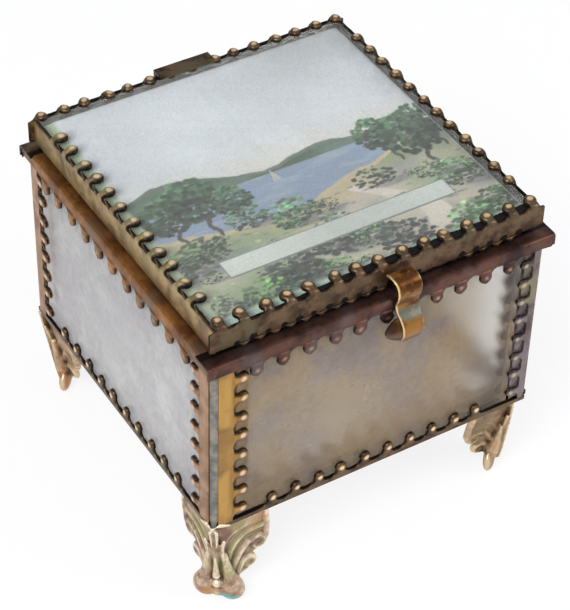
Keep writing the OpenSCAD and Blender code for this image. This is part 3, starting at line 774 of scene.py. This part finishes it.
def smooth_path(points, steps):
    """Points on a smooth curve through the given ones."""
    out = []
    pts = [Vector(p) for p in points]
    for i in range(len(pts) - 1):
        p0, p1, p2, p3 = pts[max(i - 1, 0)], pts[i], pts[i + 1], pts[min(i + 2, len(pts) - 1)]
        for k in range(steps):
            t = k / steps
            out.append(0.5 * ((2 * p1) + (p2 - p0) * t + (2 * p0 - 5 * p1 + 4 * p2 - p3) * t * t
                              + (3 * p1 - p0 - 3 * p2 + p3) * t ** 3))
    out.append(pts[-1])
    return out


def wing_point(length, drop, out, swap, lean):
    """A point on a wing's face, from the length along the wall and the drop below it."""
    y = FOOT_INSET + drop * math.tan(math.radians(lean)) - out + 0.35
    return Vector((y, length, FOOT_H - drop) if swap else (length, y, FOOT_H - drop))


def volute(centre, start_r, end_r, start):
    """Length and drop of points on a spiral scroll."""
    out = []
    for t in fractions(VOLUTE_STEPS):
        r = start_r + (end_r - start_r) * t
        a = start + VOLUTE_TURNS * TAU * t
        out.append((centre[0] + r * math.cos(a), centre[1] + r * math.sin(a)))
    return out


VOXEL, SMOOTH_STEPS = 0.00018, 5
HOLLOW_REACH, HOLLOW_STRENGTH = 12, 8500
# The near foot is bent by this much at its bottom, and has a green spot on one toe
NEAR_BEND = (-0.1, -1.2)
GREEN_TOE, GREEN_CORE, GREEN_FADE = Vector((3.3, 0.2, 0.9)), 1.7, 1.9
# The front right foot's corner sits further in at its top
SKEW, SKEW_REACH, SKEW_DOWN = 2.6, 9, 1.3

WING_OUTLINE = [
    (-0.1, 0.35), (10.9, 0.35), (11.0, 3.0), (10.6, 6.0), (10.4, 8.6), (8.4, 9.6), (8.4, 12.0), (7.0, 12.6),
    (5.8, 12.9), (4.4, 14.4), (1.6, 14.6),
]
# Each ridge of a wing: its points, the radius at its two ends and how far it stands out
WING_RIDGES = [
    ([(3.6, 14.2), (4.5, 11.0), (5.9, 8.0), (7.4, 6.2)] + volute((9.2, 7.4), 1.7, 0.3, -2.5), 0.8, 0.6, 0.0),
    ([(4.9, 13.9), (5.5, 12.3)] + volute((7.5, 11.3), 1.4, 0.25, -2.9), 0.75, 0.55, 0.1),
    ([(2.9, 13.8), (3.4, 9.4), (4.5, 6.0), (6.7, 3.9), (9.9, 3.6)], 0.8, 0.8, -0.2),
    ([(2.0, 12.8), (2.1, 8.5), (2.6, 5.4), (4.0, 3.0), (7.0, 2.0)], 0.75, 0.6, -0.2),
    ([(0.9, 0.9), (5.0, 0.8), (10.6, 0.9)], 0.45, 0.45, -0.2),
    ([(10.7, 1.2), (10.9, 4.0), (10.8, 6.6)], 0.7, 0.75, -0.1),
    ([(3.8, 14.5), (5.8, 13.5), (7.4, 13.0)], 0.6, 0.5, -0.2),
]


def add_wing(bm, swap, lean, sunk):
    front = [bm.verts.new(wing_point(a, b, 0.15, swap, lean)) for a, b in WING_OUTLINE]
    back = [bm.verts.new(wing_point(a, b, -0.45, swap, lean)) for a, b in WING_OUTLINE]
    add_slab(bm, back, front)
    for path, r0, r1, out in WING_RIDGES:
        points = smooth_path([(*p, 0) for p in path], 2 if len(path) > 12 else 5)
        n = len(points) - 1
        add_tube(bm, [wing_point(p.x, p.y, out - sunk, swap, lean) for p in points],
                 [r0 + (r1 - r0) * i / n for i in range(n + 1)])


def build_foot(lean, leg_lean, toe_depth, sunk, lug):
    """One foot in the corner's frame: two wings, a leg between them with three flutes, and round toes.

    The leans are in degrees, sunk is how deep the scrolls sit, and a lug laps up over the body's corner.
    """
    bm = bmesh.new()
    add_wing(bm, False, lean, sunk)
    add_wing(bm, True, lean, sunk)

    def leg(drop, out=0.0, across=0.0):
        u = FOOT_INSET * math.sqrt(2) + drop * math.tan(math.radians(leg_lean)) - out + 0.75
        return DIAGONAL @ Vector((u, across, FOOT_H - drop))

    def tube(points, radii):
        path = smooth_path(points, 4)
        n = len(path) - 1
        last = len(radii) - 1
        add_tube(bm, path, [np.interp(i / n * last, range(last + 1), radii) for i in range(n + 1)])

    tube([leg(3.0, 0.3), leg(8, 0.45), leg(11.2, 0.6)], [0.15, 0.4, 0.75])
    for s in (-1, 1):
        tube([leg(3.0, 0.1, s * 1.6), leg(5.2, 0.1, s * 1.1), leg(8.5, 0.0, s * 1.4)], [0.35, 0.45, 0.4])
        toe = [leg(6.5, -0.3, s * 1.3), leg(9.5, -0.3, s * 1.6), leg(12.0, -0.4, s * 2.0)]
        tube(toe + [leg(13.8, -0.3, s * 2.2)], [0.5, 0.9, 1.2, toe_depth])
        add_ball(bm, leg(FOOT_H - TOE_R, -0.35, s * 2.15), (toe_depth, TOE_R, TOE_R), DIAGONAL)
    add_ball(bm, leg(13.2, 0.55), (0.95, 0.95, 0.95))
    add_ball(bm, leg(15.0, -0.3), (toe_depth - 0.2, 1.6, 1.6), DIAGONAL)
    slab = [(0.5, 0.5), (10.2, 1.4), (1.4, 10.2)]
    low = [bm.verts.new((x, y, FOOT_H - 0.6)) for x, y in slab]
    top = [bm.verts.new((x, y, FOOT_H - 0.02)) for x, y in slab]
    add_slab(bm, low, top)
    for swap in (False, True) if lug else ():
        ends = [(-0.1, -0.1, FOOT_H + 0.9), (1.6, -0.12, FOOT_H + 1.1), (3.3, -0.1, FOOT_H + 0.3)]
        points = [Vector((y, x, z) if swap else (x, y, z)) for x, y, z in ends]
        add_tube(bm, points, [0.3, 0.38, 0.25])
    mesh = bpy.data.meshes.new("foot")
    bmesh.ops.scale(bm, vec=(MM, MM, MM), verts=bm.verts)
    bm.to_mesh(mesh)
    bm.free()
    mesh = fused(mesh)
    curvature_tone(mesh)
    return mesh


def fused(mesh):
    """The outer skin of overlapping forms, smoothed."""
    obj = add_object("fusing", mesh)
    remesh = obj.modifiers.new("fuse", "REMESH")
    remesh.mode = "VOXEL"
    remesh.voxel_size = VOXEL
    smooth = obj.modifiers.new("smooth", "SMOOTH")
    smooth.factor = 0.5
    smooth.iterations = SMOOTH_STEPS
    out = bpy.data.meshes.new_from_object(obj.evaluated_get(bpy.context.evaluated_depsgraph_get()))
    bpy.data.objects.remove(obj)
    bpy.data.meshes.remove(mesh)
    return out


def read_array(collection, key, width, kind=np.float64):
    values = np.empty(len(collection) * width, dtype=kind)
    collection.foreach_get(key, values)
    return values.reshape(-1, width)


def curvature_tone(mesh):
    """Writes painted highlights on ridges and painted shade in hollows, from how each point stands out from
    its neighbours.
    """
    co = read_array(mesh.vertices, "co", 3)
    normals = read_array(mesh.vertices, "normal", 3)
    edges = read_array(mesh.edges, "vertices", 2, np.int64)
    degree = np.bincount(edges.ravel(), minlength=len(co))[:, None]
    blurred = co.copy()
    for _ in range(HOLLOW_REACH):
        total = np.zeros_like(blurred)
        np.add.at(total, edges[:, 0], blurred[edges[:, 1]])
        np.add.at(total, edges[:, 1], blurred[edges[:, 0]])
        blurred = total / degree
    stand = ((co - blurred) * normals).sum(1) * HOLLOW_STRENGTH
    write_colours(mesh, "tone", np.stack([np.clip(stand, 0, 1), np.clip(-stand - 0.1, 0, 1), 0 * stand], 1))


FOOT = build_foot(12, 15, 1.0, 0.25, False)
NEAR_FOOT = build_foot(4, 5, 1.9, 0.05, True)


def make_foot(word, sx, sy):
    near = word == "front_left"
    mesh = NEAR_FOOT if near else FOOT.copy()
    matrix = corner_matrix(sx, sy)
    tone = mesh.attributes["tone"].data
    for i, v in enumerate(mesh.vertices):
        p = v.co / MM
        down = (FOOT_H - p.z) / FOOT_H
        if near:
            tone[i].color[2] = max(0, GREEN_CORE - (p - GREEN_TOE).length / GREEN_FADE)
            p.x += NEAR_BEND[0] * down
            p.y += NEAR_BEND[1] * down
        elif word == "front_right":
            p.x += SKEW * (1 - SKEW_DOWN * down) * max(0, 1 - p.x / SKEW_REACH)
        v.co = (matrix @ p) * MM
    if sx * sy < 0:
        mesh.flip_normals()
    for polygon in mesh.polygons:
        polygon.use_smooth = True
    name = "foot_" + word
    piece(name + "_stamped", mesh, "casket", GILT if near else BRONZE, name)


for y_word, sy in (("front", -1), ("back", 1)):
    for x_word, sx in (("left", -1), ("right", 1)):
        make_seam(y_word + "_" + x_word, sx, sy)
        make_foot(y_word + "_" + x_word, sx, sy)


# Clasp


def bezier(p, q, r, s, t):
    return p * (1 - t) ** 3 + q * 3 * t * (1 - t) ** 2 + r * 3 * t * t * (1 - t) + s * t ** 3


def clasp_path(steps):
    """How far out from the lid's front and how far above its bottom the clasp's middle runs."""
    rim_out = BODY / 2 + RIM_PROUD - (LID_D / 2 - LID_SETBACK)
    root = Vector((0.2 + CLASP_T / 2, LID_H - 2.2))
    waist = Vector((rim_out + CLASP_PLAY + CLASP_T / 2, -LID_GAP - 1))
    bow = Vector((rim_out + 2.6 - CLASP_T / 2, waist.y - 4.6))
    tip = Vector((rim_out + CLASP_T, bow.y - 4))
    legs = [
        (root, root + Vector((2.8, 0.6)), waist + Vector((1.9, 3.6)), waist),
        (waist, waist - Vector((0.3, 2.1)), bow + Vector((0, 2)), bow),
        (bow, bow - Vector((0, 1.6)), tip + Vector((0.9, 1.2)), tip),
    ]
    out = []
    for t in fractions(steps):
        k = min(int(3 * t), 2)
        out.append(bezier(*legs[k], 3 * t - k))
    return out


def clasp_middle(t):
    """Where the clasp's middle is along the front, from its root at 0 to its tip at 1."""
    return 2.75 + 1.25 * t


def clasp_half(t):
    """Half the clasp's width, rounded off at the tip."""
    half = 2.4 - 0.6 * t
    if t > 0.9:
        half *= 0.5 + 0.5 * math.sqrt(max(0.05, 1 - ((t - 0.9) / 0.115) ** 2))
    return half


def make_clasp():
    path = clasp_path(60)
    n = len(path) - 1
    shape = Shape()
    rows = []
    for i, p in enumerate(path):
        t = i / n
        d = (path[min(i + 1, n)] - path[max(i - 1, 0)]).normalized()
        normal = Vector((-d.y, d.x))
        half = clasp_half(t)
        dull = max(0, 1 - abs(t - 0.47) / 0.2)
        ring = []
        for c in (-1, -0.95, -0.8, -0.4, 0, 0.4, 0.8, 0.95, 1):
            q = p + normal * (0.2 + 0.05 * (1 - c * c) - (0.1 if abs(c) == 1 else 0))
            # Painted highlights: brighter edges, the left one most, and a lighter middle
            wear_and_highlight = (1 if c < 0 else 0.5) if abs(c) >= 0.95 else 0.15 + 0.15 * (1 - c * c)
            ring.append(shape.point((clasp_middle(t) + half * c, -q.x, q.y), (wear_and_highlight, 0, dull)))
        # The back face, towards the glass, is darkened with painted shade
        for c in (1, 0.95, 0, -0.95, -1):
            q = p - normal * (0.25 - (0.1 if abs(c) == 1 else 0))
            ring.append(shape.point((clasp_middle(t) + half * c, -q.x, q.y), (0.1, 0.3, 0.6)))
        rows.append(ring)
    shape.grid(rows, closed=True)
    shape.cap(rows)
    # A thin cheek that stands out from the clasp's left edge, painted dark as the clasp's shadow on the
    # glass, with a painted highlight on its outer edge
    shadow_cheek = []
    for u in fractions(28):
        t = 0.5 + 0.48 * u
        p = path[round(t * n)]
        swell = math.sin(math.pi * u) ** 0.8
        front, back = [], []
        for k in fractions(5):
            x = clasp_middle(t) - clasp_half(t) + 0.2 - 3.1 * k * swell
            out = p.x - 0.1 - 0.8 * k * swell
            up = p.y + 0.9 * k * swell
            front.append(shape.point((x, -out - 0.12, up), (0.3 * (k > 0.9), 0.6, 0)))
            back.append(shape.point((x, -out + 0.12, up), (0, 0.6, 0)))
        shadow_cheek.append(front + back[::-1])
    shape.grid(shadow_cheek, closed=True)
    shape.cap(shadow_cheek)
    place = Matrix.Translation((0, -LID_D / 2 + LID_SETBACK, LID_Z))
    piece("clasp_sprung", shape.mesh("clasp", place), "clasp", CLASP_METAL, "clasp")


make_clasp()


# Printed card: a landscape worked out point by point on a fine grid

CARD_CELLS = 330
LABEL_CENTRE, LABEL_HALF = (0.5, 0.205), (0.365, 0.032)
TREES = ((0.1, 0.47, 0.06), (0.2, 0.5, 0.075), (0.3, 0.45, 0.05), (0.82, 0.5, 0.06), (0.9, 0.46, 0.075),
         (0.97, 0.5, 0.06))
INK_WHITE, INK_CONTRAST = 0.97, 1.28


def fractal(x, y, seed, octaves=5):
    """Smooth random field made of turned waves."""
    rng = np.random.RandomState(seed)
    total = np.zeros_like(x)
    for k in range(octaves):
        for _ in range(5):
            a = rng.uniform(0, TAU)
            f = 2.0 ** k * rng.uniform(0.7, 1.4)
            along = x * math.cos(a) + y * math.sin(a)
            total += np.sin(along * f * 6.283 + rng.uniform(0, 6.3)) / 2.0 ** k / 3
    return total


def landscape(x, y):
    """Colour of the print at x, y from 0 to 1, with y up. Lake, hills, trees, a path and a bare label."""
    rough = fractal(x, y, 1, 6)
    soft = fractal(x, y, 2, 3)
    edge = 0.012 * fractal(x * 3, 0.3, 3, 5)

    def mask(value):
        return np.clip(value, 0, 1)

    def layer(colour, cover):
        m = mask(cover)[..., None]
        image[:] = image * (1 - m) + np.array(colour) * m

    def over(height, soften=0.004):
        return mask((height - y) / soften)

    image = np.ones((*x.shape, 3)) * np.array([0.885, 0.895, 0.91])
    image += (0.012 * soft)[..., None]
    layer((0.93, 0.92, 0.9), (0.66 - y) / 0.12 * 0.6)
    far = 0.545 + 0.03 * np.sin(x * 5.1 + 0.6) + 0.02 * np.sin(x * 11) + edge
    layer((0.55, 0.63, 0.57), over(far))
    layer((0.42, 0.53, 0.42), over(far - 0.012) * mask(0.5 + 0.6 * fractal(x * 3, y * 6, 8, 5)))
    layer((0.69, 0.75, 0.83), over(0.5))
    layer((0.78, 0.82, 0.85), over(0.5) * mask(fractal(x * 4, y * 30, 9, 4)) * 0.7)
    shore = 0.42 - 0.1 * np.sin(x * 3.3 + 0.4) + edge
    layer((0.87, 0.83, 0.73), over(shore + 0.015))
    layer((0.66, 0.73, 0.6), over(shore) * mask(0.4 + rough))
    layer((0.86, 0.84, 0.8), over(shore - 0.05, 0.03) * mask(0.7 - rough * 0.6))
    layer((0.72, 0.72, 0.75), over(shore - 0.03) * mask(fractal(x * 3, y * 5, 11, 5) - 0.2) * 0.6)
    path_x = 0.62 + 0.16 * np.sin(y * 8 + 0.5)
    width = 0.015 + 0.11 * mask(0.4 - y)
    layer((0.91, 0.89, 0.86), mask((width - np.abs(x - path_x)) / 0.006) * over(shore - 0.03, 0.01))
    rng = np.random.RandomState(12)

    def dab(cx, cy, rx, ry, colour, alpha=0.9):
        """A soft-edged dab of paint."""
        i0, i1 = np.searchsorted(y[:, 0], (cy - ry, cy + ry))
        j0, j1 = np.searchsorted(x[0], (cx - rx, cx + rx))
        part = image[i0:i1, j0:j1]
        d = np.hypot((x[i0:i1, j0:j1] - cx) / rx, (y[i0:i1, j0:j1] - cy) / ry)
        m = (mask((1 - d) / 0.35) * alpha)[..., None]
        part[:] = part * (1 - m) + np.array(colour) * m

    def foliage(cx, cy, rx, ry, green, count):
        """A clump of leaves, dark below and lighter above."""
        for _ in range(count):
            a, r = rng.uniform(0, TAU), math.sqrt(rng.uniform(0, 1))
            u, v = r * math.cos(a), r * math.sin(a)
            light = 0.85 + 0.35 * v + rng.uniform(-0.35, 0.4)
            size = rng.uniform(0.07, 0.17)
            dab(cx + u * rx, cy + v * ry, rx * size, ry * size * 0.8, np.array(green) * max(0.3, light))

    for tx, ty, size in TREES:
        for k in range(16):
            trunk_x = tx + 0.1 * size * math.sin(k)
            dab(trunk_x, ty - size * k / 7, 0.09 * size, 0.18 * size, (0.36, 0.32, 0.31))
        foliage(tx, ty, size * 1.2, size * 1.25, (0.4, 0.53, 0.42), 260)
    for _ in range(85):
        bx, by = rng.uniform(0, 1), 0.38 - 0.36 * rng.uniform(0, 1) ** 0.8
        if abs(bx - 0.62 - 0.16 * math.sin(by * 8 + 0.5)) < 0.07 + 0.1 * (0.4 - by):
            continue
        size = rng.uniform(0.1, 0.25) ** 2 * (1.3 - by)
        green = np.array((0.5, 0.63, 0.5)) * rng.uniform(0.6, 1.15) + rng.uniform(-0.04, 0.05, 3)
        foliage(bx, by, size * 1.4, size, green, int(2000 * size))
        dab(bx + size, by - size * 0.9, size * 1.5, size * 0.35, (0.6, 0.61, 0.62), 0.5)
    for _ in range(260):
        fx, fy = rng.uniform(0, 1), rng.uniform(0, 0.34)
        dab(fx, fy, 0.012, 0.0035, (0.6, 0.6, 0.6) if rng.uniform() < 0.6 else (0.92, 0.88, 0.8), 0.6)
    boat_x, boat_y = 0.46, 0.462
    sail = (np.abs(x - boat_x) < (boat_y + 0.05 - y) * 0.28) & (y > boat_y) & (y < boat_y + 0.05)
    layer((0.86, 0.85, 0.82), sail * 0.9)
    label = np.maximum(*(np.abs(v - c) - h for v, c, h in zip((x, y), LABEL_CENTRE, LABEL_HALF)))
    for grow, colour in ((0.004, (0.62, 0.64, 0.64)), (0, (0.87, 0.885, 0.87))):
        layer(colour, (label < grow) * 1.0)
    # Painted shade: a thin grey band along the back and right edges, under the claws. Painted reflection:
    # pale green bands along the left and front edges, for the glass's bevel.
    layer((0.78, 0.79, 0.79), (0.008 - np.minimum(1 - x, 1 - y)) / 0.008)
    layer((0.8, 0.84, 0.76), (0.035 - x) / 0.01)
    layer((0.84, 0.89, 0.85), (0.06 - y) / 0.012)
    grain = np.random.RandomState(5).normal(0, 0.022, x.shape)
    image = image * (1 + 0.03 * rough + grain)[..., None]
    grey = image.mean(axis=2, keepdims=True)
    image = mask(grey + (image - grey) * 0.95)
    return INK_WHITE * (image / INK_WHITE) ** INK_CONTRAST


def print_material():
    material, tree = new_material("print")
    ink = add_node(tree, "Attribute", attribute_name="ink")
    paper = noise_at(tree, 900, 3)
    base = mixed(tree, math_node(tree, "MULTIPLY", paper, 0.12), ink.outputs["Color"], (0.8, 0.8, 0.76))
    glossy(tree, base, 0.6)
    return material


def make_card():
    (x0, y0, z0), (x1, y1, z1) = [[c / MM for c in corner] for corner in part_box("lid_picture")]
    axis = np.arange(CARD_CELLS + 1) / CARD_CELLS
    gx, gy = np.meshgrid(axis, axis)
    colours = landscape(gx, gy).reshape(-1, 3)
    linear = np.where(colours <= 0.04045, colours / 12.92, ((colours + 0.055) / 1.055) ** 2.4)
    coords = np.stack([x0 + gx * (x1 - x0), y0 + gy * (y1 - y0), np.full_like(gx, z1)], -1).reshape(-1, 3)
    ids = np.arange(len(coords)).reshape(gx.shape)
    faces = np.stack([ids[:-1, :-1], ids[:-1, 1:], ids[1:, 1:], ids[1:, :-1]], -1).reshape(-1, 4).tolist()
    base = len(coords)
    faces.append((base + 3, base + 2, base + 1, base))
    under = [(x0, y0, z0), (x1, y0, z0), (x1, y1, z0), (x0, y1, z0)]
    mesh = bpy.data.meshes.new("card")
    mesh.from_pydata((np.concatenate([coords, under]) * MM).tolist(), [], faces)
    write_colours(mesh, "ink", np.concatenate([linear, np.full((4, 3), 0.5)]))
    piece("lid_card", mesh, "lid", print_material(), "lid_picture")


make_card()


# CAD nodes that keep their shape


def refinish(node, material, bevel=0.0):
    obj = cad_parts[node]
    for slot in obj.material_slots:
        slot.link = "OBJECT"
        slot.material = material
    if bevel:
        edge = obj.modifiers.new("soft_edges", "BEVEL")
        edge.width = bevel * MM
        edge.segments = 2
        edge.limit_method = "ANGLE"
        edge.angle_limit = math.radians(40)


for word, material in PANES.items():
    refinish(word, material)
refinish("lid_backing", BOARD)
for word, width in (("hinge_body_leaf", 0.12), ("hinge_lid_leaf", 0.12), ("hinge_pin", 0.06)):
    refinish(word, DARK, width)


# Stage


FLOOR_HALF = 6.0
LAMP_TARGET = (0, 0, 0.03)
EYE = (-0.156595, -0.249157, 0.276071 + FOOT_H * MM)
EYE_TURN = (47.9975, -1.2306, -31.2376)
EYE_LENS, EYE_SENSOR = 133.31, 36


def any_ray(tree, *kinds):
    """1 for a ray of one of the kinds, else 0."""
    rays = add_node(tree, "LightPath").outputs
    total = 0.0
    for kind in kinds:
        total = math_node(tree, "ADD", rays["Is %s Ray" % kind], total, clamp=True)
    return total


def make_floor():
    mesh = bpy.data.meshes.new("floor")
    corners = [(x * FLOOR_HALF, y * FLOOR_HALF, 0) for x, y in ((-1, -1), (1, -1), (1, 1), (-1, 1))]
    mesh.from_pydata(corners, [], [(0, 1, 2, 3)])
    floor = add_object("studio_floor", mesh)
    material, tree = new_material("floor")
    seen = any_ray(tree, "Camera", "Glossy", "Transmission")
    cloth = add_node(tree, "BsdfDiffuse", {"Color": (0.86, 0.86, 0.86)})
    white = add_node(tree, "Emission", {"Color": (1, 1, 1), "Strength": 1.0})
    surface(tree, blended(tree, math_node(tree, "MULTIPLY", seen, 0.82), cloth, white))
    mesh.materials.append(material)


def make_world():
    world = bpy.data.worlds.new("studio")
    bpy.context.scene.world = world
    world.use_nodes = True
    tree = world.node_tree
    tree.nodes.clear()
    seen = any_ray(tree, "Camera", "Transmission")
    room = add_node(tree, "Background", {"Color": (0.95, 0.97, 1), "Strength": 0.55})
    white = add_node(tree, "Background", {"Color": (1, 1, 1), "Strength": 1.0})
    surface(tree, blended(tree, seen, room, white), "World")


def add_lamp(name, place, size, watts):
    light = bpy.data.lights.new(name, "AREA")
    light.shape = "DISK"
    light.size = size
    light.energy = watts
    lamp = add_object(name, light)
    lamp.location = place
    lamp.rotation_euler = (Vector(LAMP_TARGET) - Vector(place)).to_track_quat("-Z", "Y").to_euler()


def make_camera():
    camera = bpy.data.cameras.new("camera")
    camera.sensor_fit = "VERTICAL"
    camera.sensor_height = EYE_SENSOR
    camera.lens = EYE_LENS
    camera.clip_start = 0.01
    eye = add_object("camera", camera)
    eye.location = EYE
    eye.rotation_euler = Euler([math.radians(a) for a in EYE_TURN], "XYZ")
    bpy.context.scene.camera = eye


make_floor()
make_world()
add_lamp("key", (-0.5, -0.35, 0.75), 0.5, 7.0)
add_lamp("fill", (0.6, -0.5, 0.5), 0.6, 3.0)
make_camera()
bpy.context.scene.view_settings.view_transform = "Standard"
